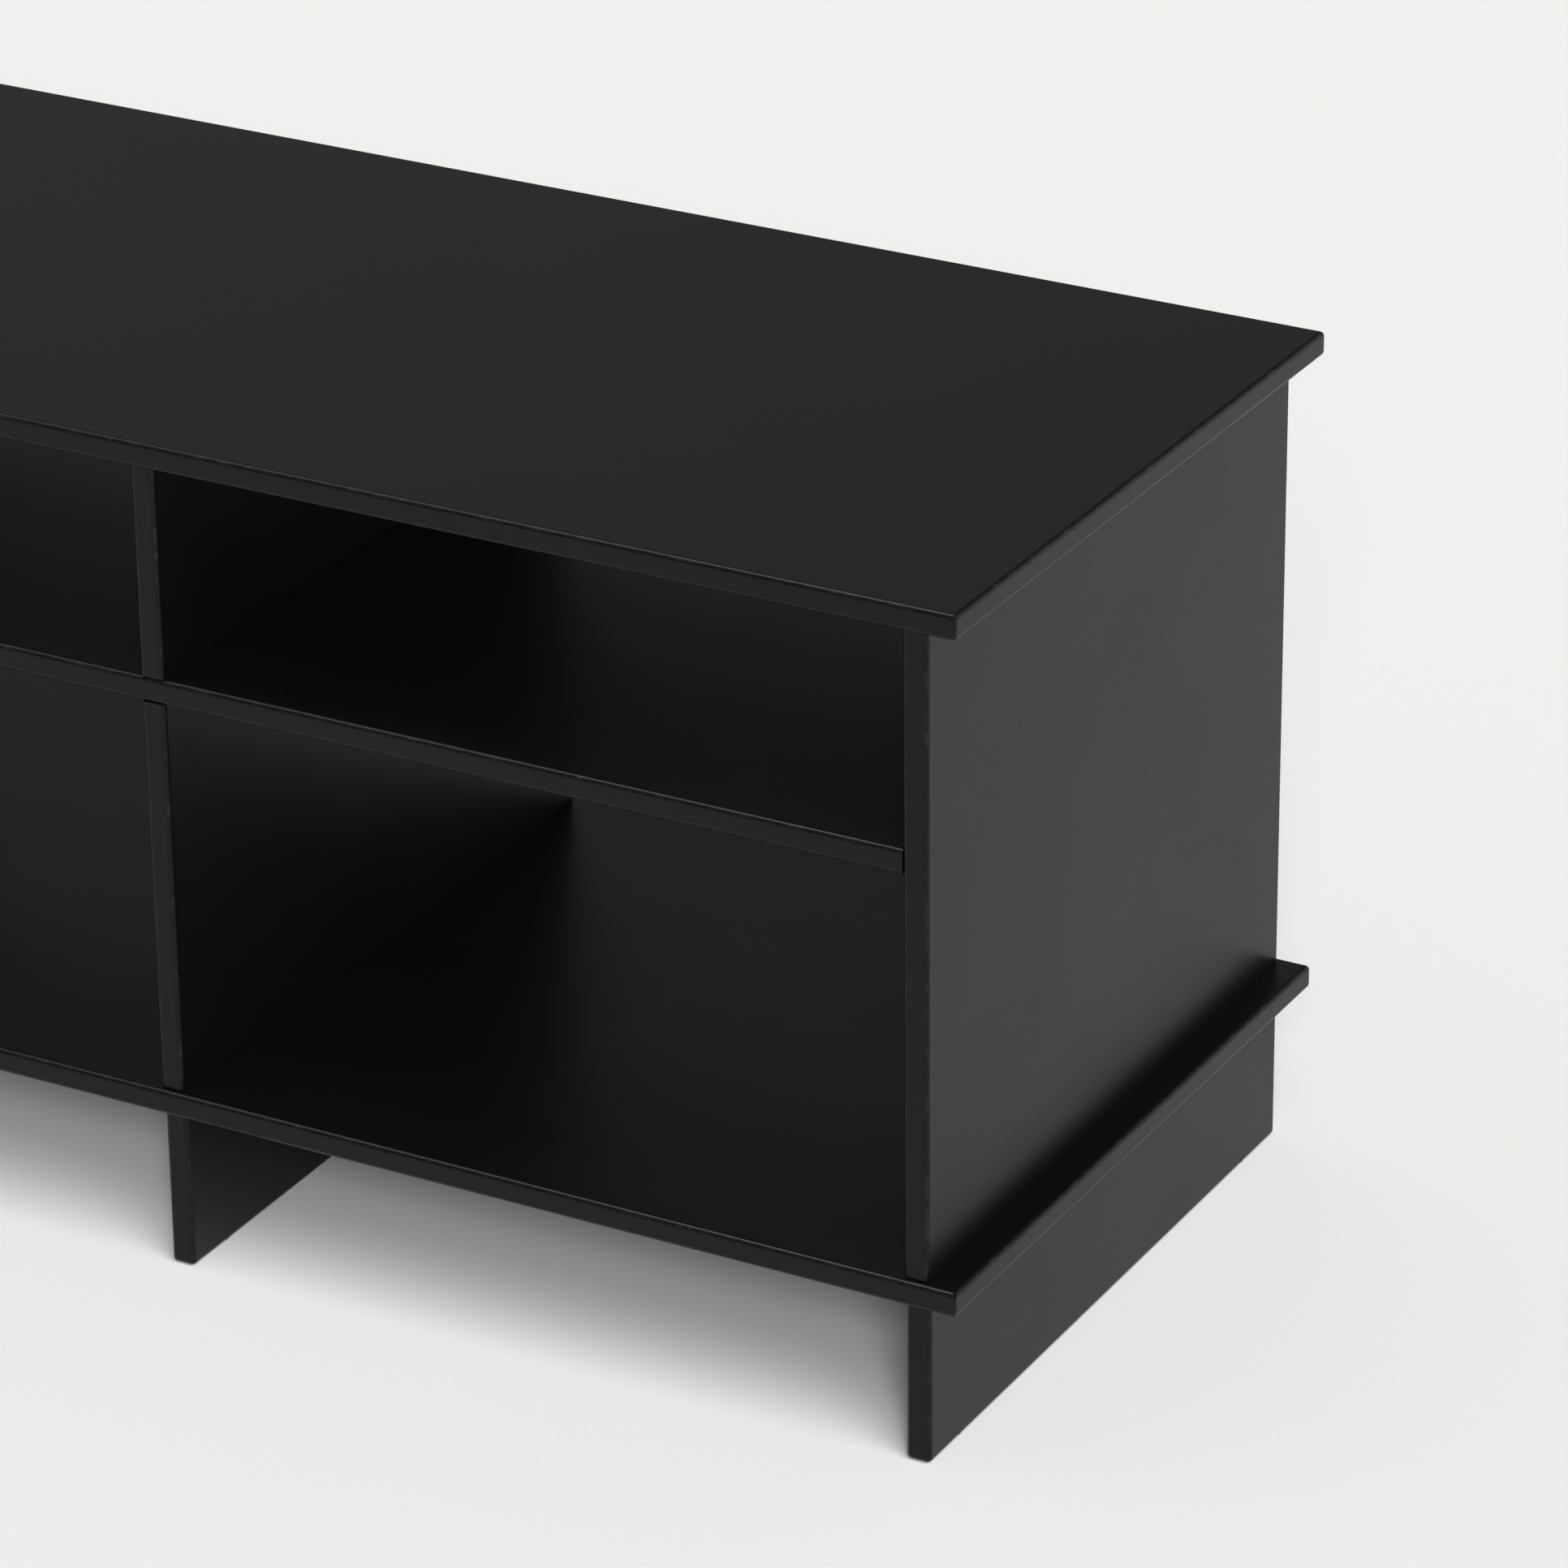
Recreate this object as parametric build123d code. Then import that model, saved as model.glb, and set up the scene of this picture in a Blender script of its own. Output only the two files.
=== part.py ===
from build123d import *
import os

# Low open storage unit of lacquered boards: three bays on two levels, open at the front and
# the back, standing on foot boards that carry on the line of each upright.
# Millimetres. +X runs along the length, +Y points to the back and +Z up. The origin is on the
# floor, under the middle of the unit.

# ---- driving dimensions ---------------------------------------------------------------------
BOARD = 15.0                # thickness of every board
DEPTH = 450.0               # front to back, over the top and the base board
BAY_COUNT = 3
BAY_WIDTH = 464.0           # clear width between two uprights
END_OVERHANG = 19.0         # how far the top and the base board run past the end panels
LEDGE = 4.0                 # how far the top and the base board stand proud of the uprights
FOOT_SETBACK = 2.5          # front of a foot board behind the front of its upright
FOOT_HEIGHT = 100.0         # floor to the underside of the base board
LOWER_CLEAR = 242.0         # clear height of a lower compartment
UPPER_CLEAR = 128.0         # clear height of an upper compartment
SIDE_RADIUS = 3.0           # rounding of the long edges of a board
CORNER_RADIUS = 1.5         # rounding of the upright corners of the top and the base board
TIGHT_RADIUS = 0.3          # rounding of a board's end where it butts up to another board
STANDING_RADIUS = 1.2       # rounding of the short lower edges of an upright
FOOT_RADIUS = 2.8           # rounding of a foot board where it meets the floor

# Glued beech dowels.
DOWEL_RADIUS = 4.0
GLUE_GAP = 0.1              # radial room for glue round a dowel or an insert
FACE_DEPTH = 10.0           # dowel depth in the face of a board
EDGE_DEPTH = 20.0           # dowel depth in the edge of a board
DOWEL_CHAMFER = 0.8
DOWEL_ROWS = (-120.0, 0.0, 120.0)

# Bolts that clamp each foot board and the base board to the upright above them.
BOLT_ROWS = (-180.0, 180.0)
BOLT_RADIUS = 2.5
BOLT_LENGTH = 100.0
BOLT_CLEARANCE_RADIUS = 2.75
HEAD_RADIUS = 4.25
HEAD_HEIGHT = 5.0
SOCKET_RADIUS = 2.3         # across the corners of the 4 mm hexagon, halved
SOCKET_DEPTH = 2.5
WASHER_RADIUS = 4.6
WASHER_THICKNESS = 1.0
COUNTERBORE_RADIUS = 5.0
COUNTERBORE_TOP = 27.0      # height of the shoulder that the washer pulls against
INSERT_RADIUS = 4.0
INSERT_BORE_RADIUS = 2.6
INSERT_LENGTH = 12.0
INSERT_HOLE_DEPTH = 14.0

# Glides that plug the bolt holes and carry the unit on the floor.
GLIDE_FLANGE_RADIUS = 6.0
GLIDE_FLANGE = 0.8          # thickness under the foot board
GLIDE_STEM_RADIUS = 4.9
GLIDE_STEM = 10.0

# ---- places that follow from them -----------------------------------------------------------
PITCH = BAY_WIDTH + BOARD
UPRIGHT_X = [(i - BAY_COUNT / 2) * PITCH for i in range(BAY_COUNT + 1)]
DIVIDER_X = UPRIGHT_X[1:-1]
LENGTH = BAY_COUNT * PITCH + BOARD + 2 * END_OVERHANG

BASE_Z = FOOT_HEIGHT
LOWER_Z = BASE_Z + BOARD
SHELF_Z = LOWER_Z + LOWER_CLEAR
UPPER_Z = SHELF_Z + BOARD
TOP_Z = UPPER_Z + UPPER_CLEAR
HEIGHT = TOP_Z + BOARD

FRONT = -DEPTH / 2
BACK = DEPTH / 2
UPRIGHT_FRONT = FRONT + LEDGE
UPRIGHT_BACK = BACK - LEDGE
FOOT_FRONT = UPRIGHT_FRONT + FOOT_SETBACK


# ---- boards ---------------------------------------------------------------------------------
def block(low, high):
    """A square-edged block between two corners."""
    size = [b - a for a, b in zip(low, high)]
    middle = [(a + b) / 2 for a, b in zip(low, high)]
    return Pos(*middle) * Box(*size)


def rounded_board(low, high, along, first_radius, last_radius):
    """A board whose edges along one axis have SIDE_RADIUS, and whose two ends have their own."""
    board = block(low, high)
    board = fillet(board.edges().filter_by(along), SIDE_RADIUS)
    board = fillet(board.faces().sort_by(along)[0].edges(), first_radius)
    return fillet(board.faces().sort_by(along)[-1].edges(), last_radius)


def panel(z_low):
    """The top or the base board: full length and depth, rounded all round."""
    board = block((-LENGTH / 2, FRONT, z_low), (LENGTH / 2, BACK, z_low + BOARD))
    level_edges = board.edges().filter_by(Axis.X) + board.edges().filter_by(Axis.Y)
    board = fillet(level_edges, SIDE_RADIUS)
    return fillet(board.edges().filter_by(Axis.Z), CORNER_RADIUS)


def upright(x, z_low, z_high):
    """An end panel or a divider, on edge, centred on x, with its lower corners rounded off."""
    low = (x - BOARD / 2, UPRIGHT_FRONT, z_low)
    high = (x + BOARD / 2, UPRIGHT_BACK, z_high)
    outline = block(low, high)
    short_edges = outline.edges().filter_by(Axis.X).sort_by(Axis.Z)[:2]
    outline = fillet(short_edges, STANDING_RADIUS)
    return rounded_board(low, high, Axis.Z, TIGHT_RADIUS, TIGHT_RADIUS) & outline


def foot(x):
    """A foot board, in line with the upright above it and level with its back edge."""
    low = (x - BOARD / 2, FOOT_FRONT, GLIDE_FLANGE)
    high = (x + BOARD / 2, UPRIGHT_BACK, FOOT_HEIGHT)
    return rounded_board(low, high, Axis.Z, FOOT_RADIUS, TIGHT_RADIUS)


def shelf():
    """The middle shelf, in one length between the end panels."""
    low = (UPRIGHT_X[0] + BOARD / 2, UPRIGHT_FRONT, SHELF_Z)
    high = (UPRIGHT_X[-1] - BOARD / 2, UPRIGHT_BACK, SHELF_Z + BOARD)
    return rounded_board(low, high, Axis.X, TIGHT_RADIUS, TIGHT_RADIUS)


# ---- holes ----------------------------------------------------------------------------------
def post(x, y, z_low, z_high, radius):
    """A round post standing between two heights, used for holes and for hardware."""
    return Pos(x, y, (z_low + z_high) / 2) * Cylinder(radius, z_high - z_low)


def beam(x_low, x_high, y, z, radius):
    """A round bar lying along X."""
    lying = Rot(0, 90, 0) * Cylinder(radius, x_high - x_low)
    return Pos((x_low + x_high) / 2, y, z) * lying


def dowel_holes(xs, z_low, z_high):
    """Upright dowel holes in every dowel row, at each x."""
    radius = DOWEL_RADIUS + GLUE_GAP
    return [post(x, y, z_low, z_high, radius) for x in xs for y in DOWEL_ROWS]


def bolt_holes(xs, z_low, z_high, radius):
    """Upright bolt holes in both bolt rows, at each x."""
    return [post(x, y, z_low, z_high, radius) for x in xs for y in BOLT_ROWS]


def shelf_end_spans():
    """The X spans of the dowels that hold the ends of the shelf in the end panels."""
    left_face = UPRIGHT_X[0] + BOARD / 2
    right_face = UPRIGHT_X[-1] - BOARD / 2
    left = (left_face - FACE_DEPTH, left_face + EDGE_DEPTH)
    right = (right_face - EDGE_DEPTH, right_face + FACE_DEPTH)
    return [left, right]


def shelf_end_holes():
    """The holes of those dowels, in the shelf and in the end panels."""
    radius = DOWEL_RADIUS + GLUE_GAP
    z = SHELF_Z + BOARD / 2
    return [beam(a, b, y, z, radius) for a, b in shelf_end_spans() for y in DOWEL_ROWS]


def drilled(board, holes):
    """The board less its holes."""
    for hole in holes:
        board = board - hole
    return board


# ---- hardware -------------------------------------------------------------------------------
def dowel(length):
    """A beech dowel with chamfered ends, standing on the origin plane."""
    body = Pos(0, 0, length / 2) * Cylinder(DOWEL_RADIUS, length)
    return chamfer(body.edges().filter_by(GeomType.CIRCLE), DOWEL_CHAMFER)


def bolt():
    """A socket-head bolt, head down, with the underside of its head on the origin plane."""
    head = Pos(0, 0, -HEAD_HEIGHT / 2) * Cylinder(HEAD_RADIUS, HEAD_HEIGHT)
    head = fillet(head.edges().sort_by(Axis.Z)[0], 0.5)
    shank = Pos(0, 0, BOLT_LENGTH / 2) * Cylinder(BOLT_RADIUS, BOLT_LENGTH)
    shank = chamfer(shank.edges().sort_by(Axis.Z)[-1], 0.5)
    hexagon = RegularPolygon(SOCKET_RADIUS, 6)
    socket = Pos(0, 0, -HEAD_HEIGHT) * extrude(hexagon, SOCKET_DEPTH)
    return head + shank - socket


def washer():
    """A plain washer standing on the origin plane."""
    disc = Pos(0, 0, WASHER_THICKNESS / 2) * Cylinder(WASHER_RADIUS, WASHER_THICKNESS)
    return disc - Cylinder(BOLT_CLEARANCE_RADIUS, 4 * WASHER_THICKNESS)


def insert():
    """A threaded insert standing on the origin plane."""
    sleeve = Pos(0, 0, INSERT_LENGTH / 2) * Cylinder(INSERT_RADIUS, INSERT_LENGTH)
    sleeve = chamfer(sleeve.edges().sort_by(Axis.Z)[-1], 0.6)
    return sleeve - Cylinder(INSERT_BORE_RADIUS, 4 * INSERT_LENGTH)


def glide():
    """A press-in glide: a thin flange on the floor and a stem up the bolt's counterbore."""
    flange = Pos(0, 0, GLIDE_FLANGE / 2) * Cylinder(GLIDE_FLANGE_RADIUS, GLIDE_FLANGE)
    flange = fillet(flange.edges().sort_by(Axis.Z)[0], 0.4)
    stem = Pos(0, 0, GLIDE_FLANGE + GLIDE_STEM / 2) * Cylinder(GLIDE_STEM_RADIUS, GLIDE_STEM)
    stem = chamfer(stem.edges().sort_by(Axis.Z)[-1], 0.8)
    return flange + stem


def group(piece, places):
    """Copies of one piece, kept as separate solids."""
    return Compound(children=[Pos(*place) * piece for place in places])


# ---- the pieces -----------------------------------------------------------------------------
def build_boards():
    """Every board with its holes, by node name."""
    lower_face = BASE_Z + BOARD
    top_holes = dowel_holes(UPRIGHT_X, TOP_Z - EDGE_DEPTH, TOP_Z + FACE_DEPTH)
    shelf_holes = dowel_holes(DIVIDER_X, SHELF_Z - EDGE_DEPTH, UPPER_Z + EDGE_DEPTH)
    base_holes = dowel_holes(UPRIGHT_X, BASE_Z - EDGE_DEPTH, lower_face + EDGE_DEPTH)
    through_bolts = bolt_holes(UPRIGHT_X, 0, lower_face + 1, BOLT_CLEARANCE_RADIUS)
    counterbores = bolt_holes(UPRIGHT_X, 0, COUNTERBORE_TOP, COUNTERBORE_RADIUS)
    insert_radius = INSERT_RADIUS + GLUE_GAP
    insert_top = lower_face + INSERT_HOLE_DEPTH
    insert_holes = bolt_holes(UPRIGHT_X, lower_face - 1, insert_top, insert_radius)
    end_holes = shelf_end_holes()

    def near(x, holes):
        return [h for h in holes if abs(h.center().X - x) < BAY_WIDTH / 2]

    boards = {
        "top_board": drilled(panel(TOP_Z), top_holes),
        "middle_shelf": drilled(shelf(), shelf_holes + end_holes),
        "base_board": drilled(panel(BASE_Z), base_holes + through_bolts),
    }
    for side, x in (("left", UPRIGHT_X[0]), ("right", UPRIGHT_X[-1])):
        holes = near(x, top_holes + base_holes + insert_holes + end_holes)
        boards[f"{side}_end_panel"] = drilled(upright(x, LOWER_Z, TOP_Z), holes)
    for side, x in zip(("left", "right"), DIVIDER_X):
        upper_holes = near(x, top_holes + shelf_holes)
        lower_holes = near(x, shelf_holes + base_holes + insert_holes)
        boards[f"{side}_upper_divider"] = drilled(upright(x, UPPER_Z, TOP_Z), upper_holes)
        boards[f"{side}_lower_divider"] = drilled(upright(x, LOWER_Z, SHELF_Z), lower_holes)
    places = ("left_end", "left_middle", "right_middle", "right_end")
    for place, x in zip(places, UPRIGHT_X):
        holes = near(x, base_holes + through_bolts + counterbores)
        boards[f"{place}_foot_board"] = drilled(foot(x), holes)
    return boards


def build_hardware():
    """Dowels, bolts, washers, inserts and glides, by node name."""
    head_seat = COUNTERBORE_TOP - WASHER_THICKNESS
    short_dowel = dowel(FACE_DEPTH + EDGE_DEPTH)
    long_dowel = dowel(BOARD + 2 * EDGE_DEPTH)
    shelf_end_dowel = Rot(0, 90, 0) * short_dowel

    def rows(xs, ys, z):
        return [(x, y, z) for x in xs for y in ys]

    shelf_middle = SHELF_Z + BOARD / 2
    shelf_ends = [(a, y, shelf_middle) for a, b in shelf_end_spans() for y in DOWEL_ROWS]
    return {
        "top_dowels": group(short_dowel, rows(UPRIGHT_X, DOWEL_ROWS, TOP_Z - EDGE_DEPTH)),
        "divider_dowels": group(long_dowel, rows(DIVIDER_X, DOWEL_ROWS, SHELF_Z - EDGE_DEPTH)),
        "shelf_end_dowels": group(shelf_end_dowel, shelf_ends),
        "base_dowels": group(long_dowel, rows(UPRIGHT_X, DOWEL_ROWS, BASE_Z - EDGE_DEPTH)),
        "foot_bolts": group(bolt(), rows(UPRIGHT_X, BOLT_ROWS, head_seat)),
        "bolt_washers": group(washer(), rows(UPRIGHT_X, BOLT_ROWS, head_seat)),
        "threaded_inserts": group(insert(), rows(UPRIGHT_X, BOLT_ROWS, LOWER_Z)),
        "floor_glides": group(glide(), rows(UPRIGHT_X, BOLT_ROWS, 0)),
    }


os.makedirs("parts", exist_ok=True)
for name, shape in {**build_boards(), **build_hardware()}.items():
    export_step(shape, f"parts/{name}.step")
print(f"{LENGTH:.0f} x {DEPTH:.0f} x {HEIGHT:.0f} mm")
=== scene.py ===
"""The looks of a low open storage unit in satin black lacquer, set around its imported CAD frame.

Metres, in the frame of the part: +X along the unit, +Y to its back, +Z up, origin on the floor.
"""

import math

import bpy
from mathutils import Matrix, Vector


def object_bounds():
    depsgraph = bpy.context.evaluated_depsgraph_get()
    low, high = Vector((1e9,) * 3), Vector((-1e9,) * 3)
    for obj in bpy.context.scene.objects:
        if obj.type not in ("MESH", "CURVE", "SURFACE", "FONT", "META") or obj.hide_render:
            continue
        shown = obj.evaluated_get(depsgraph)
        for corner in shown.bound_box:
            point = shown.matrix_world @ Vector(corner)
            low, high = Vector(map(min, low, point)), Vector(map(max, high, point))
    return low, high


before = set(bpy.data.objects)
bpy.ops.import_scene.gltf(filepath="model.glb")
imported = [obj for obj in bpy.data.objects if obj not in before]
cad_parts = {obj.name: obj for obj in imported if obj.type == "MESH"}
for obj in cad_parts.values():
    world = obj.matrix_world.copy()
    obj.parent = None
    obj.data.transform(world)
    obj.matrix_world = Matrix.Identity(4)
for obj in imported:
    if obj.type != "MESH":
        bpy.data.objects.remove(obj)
cad_low, cad_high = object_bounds()

# Camera: where it stands, how it is turned, its lens and sensor in millimetres, and how far it
# sees in metres.
CAMERA_PLACE = Vector((2.3501, -3.3013, 2.0504))
CAMERA_YAW = math.radians(29.034)
CAMERA_PITCH = math.radians(25.168)
CAMERA_ROLL = math.radians(0.583)
CAMERA_LENS = 168.76
CAMERA_SENSOR = 36.0
CAMERA_REACH = 200.0

# Lights, each a disc in the sky: azimuth from the front towards the right, elevation and apparent
# width in degrees, and strength in W/m2.
KEY_LIGHT = (56.0, 50.0, 43.0, 2.70)
FRONT_LIGHT = (30.0, 27.5, 17.0, 1.98)
RIM_LIGHT = (-68.0, 69.5, 8.0, 1.35)
BACK_LIGHT = (140.0, 8.0, 44.0, 0.36)
LIGHT_DISTANCE = 3.0

# Dim surroundings that the lacquer mirrors: brightest to the left, almost dark to the right.
ROOM_DARK = 0.03
ROOM_GLOW = 0.30
ROOM_GLOW_WIDTH = math.radians(140.0)
ROOM_GLOW_AZIMUTH = math.radians(-95.0)
ROOM_GLOW_ELEVATION = math.radians(20.0)

FLOOR_SIZE = 60.0
FLOOR_TINT = (0.798, 0.790, 0.775, 1.0)
FLOOR_MOTTLE = 0.985

# Black lacquer: its two shades, what shows where an arris is rubbed, and the dust on top.
LACQUER_DEEP = (0.0024, 0.0024, 0.0025, 1.0)
LACQUER_SHADE = (0.0033, 0.0032, 0.0032, 1.0)
LACQUER_RUBBED = (0.030, 0.030, 0.030, 1.0)
LACQUER_DUST = (0.16, 0.155, 0.15, 1.0)
LACQUER_IOR = 1.28
LACQUER_ROUGHNESS = (0.33, 0.37)
ORANGE_PEEL_HEIGHT = 0.0000045


class Graph:
    """A small helper that adds nodes to one node tree and links them."""

    def __init__(self, tree):
        self.tree = tree
        self.tree.nodes.clear()

    def add(self, kind, settings=None, **sockets):
        """Adds a node; sockets are given by name, as a value or as another node's output."""
        node = self.tree.nodes.new(kind)
        for key, value in (settings or {}).items():
            setattr(node, key, value)
        for key, value in sockets.items():
            self.put(node, key.replace("_", " "), value)
        return node

    def put(self, node, key, value):
        """Sets one input of a node, or links an output to it."""
        socket = node.inputs[int(key[1:])] if key.startswith("#") else node.inputs[key]
        if isinstance(value, bpy.types.NodeSocket):
            self.tree.links.new(value, socket)
        else:
            socket.default_value = value

    def math(self, operation, first, second=0.0, clamp=False):
        """One Math node; returns its output."""
        node = self.add("ShaderNodeMath", {"operation": operation, "use_clamp": clamp})
        self.put(node, "#0", first)
        self.put(node, "#1", second)
        return node.outputs[0]

    def remap(self, value, low, high, to_low=0.0, to_high=1.0, kind="LINEAR"):
        """One Map Range node; returns its output."""
        node = self.add("ShaderNodeMapRange", {"interpolation_type": kind})
        self.put(node, "Value", value)
        self.put(node, "From Min", low)
        self.put(node, "From Max", high)
        self.put(node, "To Min", to_low)
        self.put(node, "To Max", to_high)
        return node.outputs["Result"]

    def noise(self, place, scale, detail=2.0, roughness=0.5):
        """One noise texture, with its scale in cells per metre; returns its value."""
        node = self.add("ShaderNodeTexNoise", None, Vector=place, Scale=scale, Detail=detail)
        self.put(node, "Roughness", roughness)
        return node.outputs["Fac"]

    def blend(self, share, first, second):
        """Mixes two colours; returns the colour."""
        node = self.add("ShaderNodeMix", {"data_type": "RGBA"})
        self.put(node, "#0", share)
        self.put(node, "#6", first)
        self.put(node, "#7", second)
        return node.outputs[2]


def new_material(name):
    """A node material with nothing in it yet, as (material, graph)."""
    material = bpy.data.materials.new(name)
    material.use_nodes = True
    return material, Graph(material.node_tree)


def finish_material(graph, shader):
    """Links the shader to the material's output."""
    graph.add("ShaderNodeOutputMaterial", None, Surface=shader.outputs[0])


def arris_share(graph, normal):
    """0 on the flat faces, 1 in the middle of a rounded arris, where no normal axis leads."""
    parts = graph.add("ShaderNodeSeparateXYZ", None, Vector=normal)
    sizes = [graph.math("ABSOLUTE", parts.outputs[i]) for i in range(3)]
    largest = graph.math("MAXIMUM", graph.math("MAXIMUM", sizes[0], sizes[1]), sizes[2])
    return graph.remap(largest, 0.985, 0.80, kind="SMOOTHSTEP")


def black_lacquer():
    """Sprayed satin black lacquer: near-black, low gloss, with a fine orange peel."""
    material, g = new_material("satin_black_lacquer")
    place = g.add("ShaderNodeTexCoord").outputs["Object"]
    normal = g.add("ShaderNodeNewGeometry").outputs["Normal"]
    arris = arris_share(g, normal)

    cloud = g.noise(place, 9.0, 3.0, 0.55)
    fine = g.noise(place, 260.0, 2.0)
    colour = g.blend(g.remap(cloud, 0.3, 0.7), LACQUER_DEEP, LACQUER_SHADE)
    rubbed = g.math("MULTIPLY", arris, g.remap(g.noise(place, 120.0, 3.0), 0.50, 0.72))
    colour = g.blend(g.math("MULTIPLY", rubbed, 0.35), colour, LACQUER_RUBBED)

    # Specks of dust, thinly strewn over what faces up.
    up = g.remap(g.add("ShaderNodeSeparateXYZ", None, Vector=normal).outputs[2], 0.96, 0.99)
    cells = g.add("ShaderNodeTexVoronoi", None, Vector=place, Scale=55.0)
    near = g.remap(cells.outputs["Distance"], 0.016, 0.006)
    cell_value = g.add("ShaderNodeSeparateColor", None, Color=cells.outputs["Color"]).outputs[0]
    chosen = g.remap(cell_value, 0.80, 0.82)
    dust = g.math("MULTIPLY", g.math("MULTIPLY", near, chosen), up)
    colour = g.blend(g.math("MULTIPLY", dust, 0.5), colour, LACQUER_DUST)

    slow = g.remap(cloud, 0.3, 0.7, *LACQUER_ROUGHNESS)
    quick = g.remap(fine, 0.3, 0.7, -0.015, 0.015)
    rough = g.math("ADD", slow, quick)
    rough = g.math("ADD", rough, g.math("MULTIPLY", dust, 0.4))

    peel = g.noise(place, 420.0, 2.0, 0.45)
    grit = g.noise(place, 1700.0, 1.0)
    height = g.math("ADD", peel, g.math("MULTIPLY", grit, 0.15))
    bump = g.add("ShaderNodeBump", None, Strength=1.0, Distance=ORANGE_PEEL_HEIGHT, Height=height)

    shader = g.add("ShaderNodeBsdfPrincipled", None, IOR=LACQUER_IOR, Normal=bump.outputs[0])
    g.put(shader, "Base Color", colour)
    g.put(shader, "Roughness", rough)
    finish_material(g, shader)
    return material


def beech():
    """Turned beech dowel: pale pinkish wood with a fine grain along its length."""
    material, g = new_material("dowel_beech")
    place = g.add("ShaderNodeTexCoord").outputs["Object"]
    drawn = g.add("ShaderNodeMapping", None, Vector=place, Scale=(1.0, 1.0, 0.06))
    grain = g.noise(drawn.outputs[0], 2200.0, 4.0, 0.6)
    fleck = g.noise(drawn.outputs[0], 5200.0, 1.0)
    colour = g.blend(
        g.remap(grain, 0.35, 0.65), (0.50, 0.32, 0.19, 1.0), (0.66, 0.46, 0.30, 1.0)
    )
    colour = g.blend(
        g.remap(fleck, 0.62, 0.72, 0.0, 0.5), colour, (0.33, 0.19, 0.10, 1.0)
    )
    bump = g.add("ShaderNodeBump", None, Strength=0.6, Distance=0.00008, Height=grain)
    shader = g.add("ShaderNodeBsdfPrincipled", None, IOR=1.45, Normal=bump.outputs[0])
    g.put(shader, "Base Color", colour)
    g.put(shader, "Roughness", g.remap(grain, 0.3, 0.7, 0.52, 0.68))
    finish_material(g, shader)
    return material


def steel(name, dark, light, metallic, roughness):
    """Plated or blackened steel with fine machining marks and slight stains."""
    material, g = new_material(name)
    place = g.add("ShaderNodeTexCoord").outputs["Object"]
    stain = g.noise(place, 350.0, 3.0, 0.6)
    marks = g.noise(place, 3200.0, 2.0)
    colour = g.blend(g.remap(stain, 0.32, 0.68), dark, light)
    rough = g.math("ADD", g.remap(stain, 0.3, 0.7, -0.06, 0.06), roughness)
    bump = g.add("ShaderNodeBump", None, Strength=0.5, Distance=0.00002, Height=marks)
    shader = g.add("ShaderNodeBsdfPrincipled", None, Metallic=metallic, Normal=bump.outputs[0])
    g.put(shader, "Base Color", colour)
    g.put(shader, "Roughness", rough)
    finish_material(g, shader)
    return material


def nylon():
    """Moulded black nylon with a spark-eroded texture, scuffed grey where it meets the floor."""
    material, g = new_material("glide_nylon")
    place = g.add("ShaderNodeTexCoord").outputs["Object"]
    texture = g.noise(place, 2600.0, 3.0, 0.6)
    scuff = g.noise(place, 700.0, 4.0, 0.65)
    colour = g.blend(
        g.remap(scuff, 0.55, 0.75), (0.012, 0.012, 0.013, 1.0), (0.060, 0.060, 0.058, 1.0)
    )
    bump = g.add("ShaderNodeBump", None, Strength=0.7, Distance=0.00004, Height=texture)
    shader = g.add("ShaderNodeBsdfPrincipled", None, IOR=1.53, Normal=bump.outputs[0])
    g.put(shader, "Base Color", colour)
    g.put(shader, "Roughness", g.remap(texture, 0.3, 0.7, 0.50, 0.64))
    finish_material(g, shader)
    return material


def floor_paper():
    """Pale seamless paper, with the faintest tooth."""
    material, g = new_material("pale_paper")
    place = g.add("ShaderNodeTexCoord").outputs["Object"]
    tooth = g.noise(place, 240.0, 4.0, 0.6)
    dim = tuple(FLOOR_MOTTLE * part for part in FLOOR_TINT[:3]) + (1.0,)
    colour = g.blend(g.remap(tooth, 0.3, 0.7), dim, FLOOR_TINT)
    bump = g.add("ShaderNodeBump", None, Strength=1.0, Distance=0.00012, Height=tooth)
    shader = g.add("ShaderNodeBsdfDiffuse", None, Color=colour, Normal=bump.outputs[0])
    finish_material(g, shader)
    return material


def dress_the_frame():
    """Gives each CAD node the finish that its material slot names."""
    finishes = {
        "black_lacquer": black_lacquer(),
        "beech": beech(),
        "black_steel": steel(
            "blackened_steel", (0.030, 0.030, 0.032, 1.0), (0.075, 0.073, 0.070, 1.0), 0.9, 0.42
        ),
        "zinc_steel": steel(
            "zinc_plated_steel", (0.42, 0.43, 0.44, 1.0), (0.62, 0.61, 0.58, 1.0), 1.0, 0.34
        ),
        "nylon": nylon(),
    }
    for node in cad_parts.values():
        for material_slot in node.material_slots:
            slot_name = material_slot.material.name.split(".")[0]
            material_slot.material = finishes[slot_name]


def lay_floor():
    """A wide floor under the unit, level with its lowest point."""
    half = FLOOR_SIZE / 2
    level = cad_low[2]
    corners = [(x * half, y * half, level) for x, y in ((-1, -1), (1, -1), (1, 1), (-1, 1))]
    mesh = bpy.data.meshes.new("studio_floor")
    mesh.from_pydata(corners, [], [(0, 1, 2, 3)])
    mesh.materials.append(floor_paper())
    floor = bpy.data.objects.new("studio_floor", mesh)
    bpy.context.scene.collection.objects.link(floor)


def sky_direction(azimuth, elevation):
    """The unit vector towards a place in the sky; azimuth 0 is in front, 90 degrees to the right."""
    return Vector((
        math.sin(azimuth) * math.cos(elevation),
        -math.cos(azimuth) * math.cos(elevation),
        math.sin(elevation),
    ))


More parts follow.
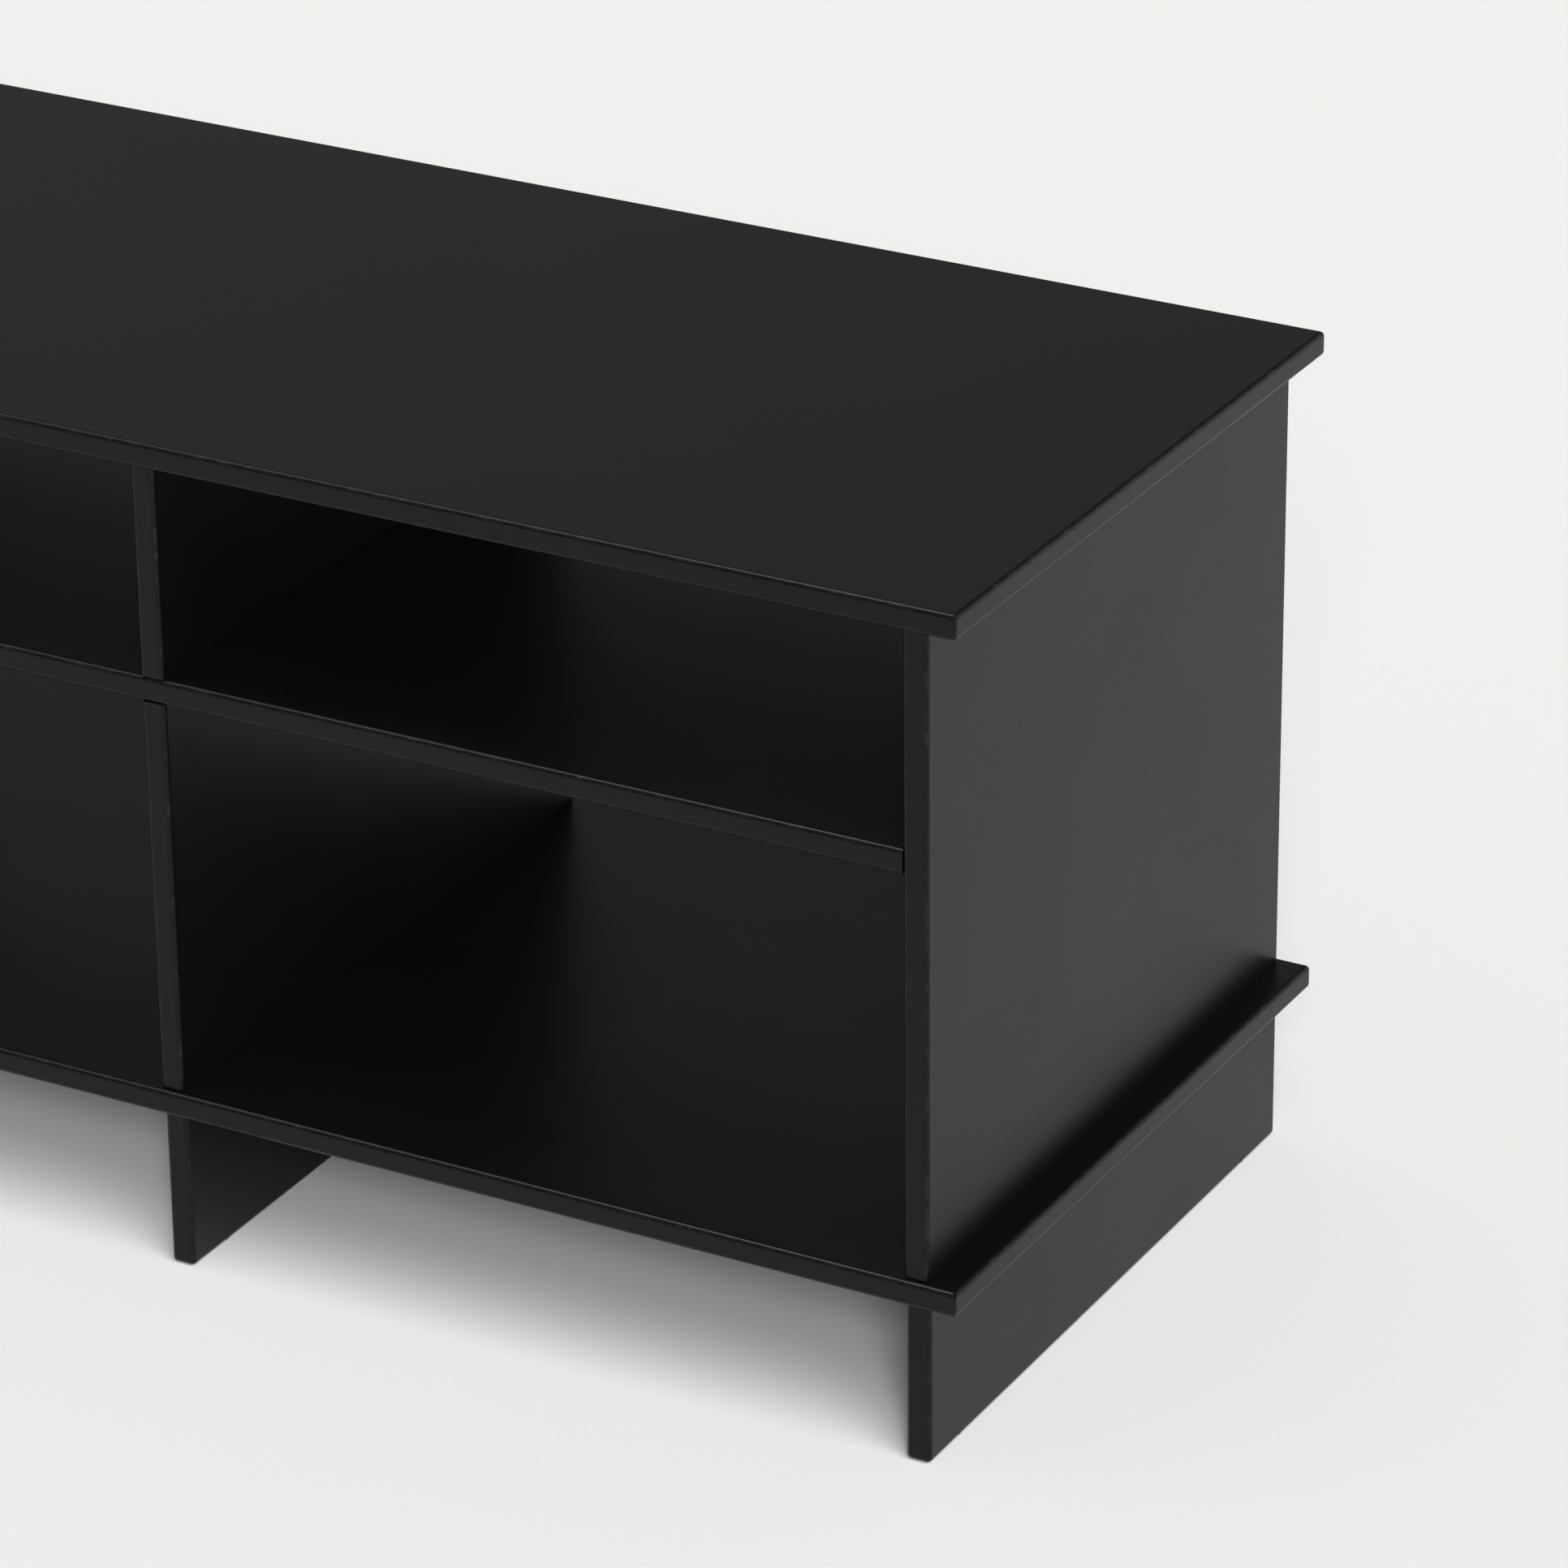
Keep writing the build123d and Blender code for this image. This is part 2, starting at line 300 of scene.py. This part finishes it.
def soft_light(name, azimuth, elevation, width, strength, on_gloss, on_matt):
    """A distant disc of light, which lights the floor evenly from edge to edge."""
    data = bpy.data.lights.new(name, "SUN")
    data.angle = math.radians(width)
    data.energy = strength
    light = bpy.data.objects.new(name, data)
    towards = sky_direction(math.radians(azimuth), math.radians(elevation))
    light.rotation_euler = towards.to_track_quat("Z", "Y").to_euler()
    light.location = towards * LIGHT_DISTANCE
    light.visible_glossy = on_gloss
    light.visible_diffuse = on_matt
    bpy.context.scene.collection.objects.link(light)


def light_the_room():
    """Soft key and front lights, then the lights and the dim room that the lacquer mirrors.

    The key and front lights stay out of the gloss; the rim and back lights show only in it.
    """
    soft_light("key_light", *KEY_LIGHT, on_gloss=False, on_matt=True)
    soft_light("front_light", *FRONT_LIGHT, on_gloss=False, on_matt=True)
    soft_light("rim_light", *RIM_LIGHT, on_gloss=True, on_matt=False)
    soft_light("back_light", *BACK_LIGHT, on_gloss=True, on_matt=False)
    world = bpy.data.worlds.new("dim_room")
    bpy.context.scene.world = world
    world.use_nodes = True
    g = Graph(world.node_tree)
    direction = g.add("ShaderNodeTexCoord").outputs["Generated"]
    facing = g.add("ShaderNodeVectorMath", {"operation": "DOT_PRODUCT"})
    g.put(facing, "#0", direction)
    g.put(facing, "#1", sky_direction(ROOM_GLOW_AZIMUTH, ROOM_GLOW_ELEVATION))
    angle = g.math("ARCCOSINE", facing.outputs["Value"])
    glow = g.remap(angle, ROOM_GLOW_WIDTH, 0.0, 0.0, ROOM_GLOW, "SMOOTHERSTEP")
    background = g.add("ShaderNodeBackground")
    g.put(background, "Strength", g.math("ADD", glow, ROOM_DARK))
    g.put(background, "Color", (1.0, 1.0, 1.0, 1.0))
    g.add("ShaderNodeOutputWorld", None, Surface=background.outputs[0])


def place_camera():
    """The photograph's viewing angle."""
    forward = Vector((
        -math.sin(CAMERA_YAW) * math.cos(CAMERA_PITCH),
        math.cos(CAMERA_YAW) * math.cos(CAMERA_PITCH),
        -math.sin(CAMERA_PITCH),
    ))
    level_right = Vector((math.cos(CAMERA_YAW), math.sin(CAMERA_YAW), 0.0))
    level_down = forward.cross(level_right)
    right = level_right * math.cos(CAMERA_ROLL) + level_down * math.sin(CAMERA_ROLL)
    down = level_down * math.cos(CAMERA_ROLL) - level_right * math.sin(CAMERA_ROLL)
    camera_data = bpy.data.cameras.new("photo_camera")
    camera_data.lens = CAMERA_LENS
    camera_data.sensor_width = CAMERA_SENSOR
    camera_data.clip_end = CAMERA_REACH
    camera = bpy.data.objects.new("photo_camera", camera_data)
    turn = Matrix((right, -down, -forward)).transposed().to_4x4()
    camera.matrix_world = Matrix.Translation(CAMERA_PLACE) @ turn
    bpy.context.scene.collection.objects.link(camera)
    bpy.context.scene.camera = camera


dress_the_frame()
lay_floor()
light_the_room()
place_camera()
bpy.context.scene.view_settings.view_transform = "Standard"
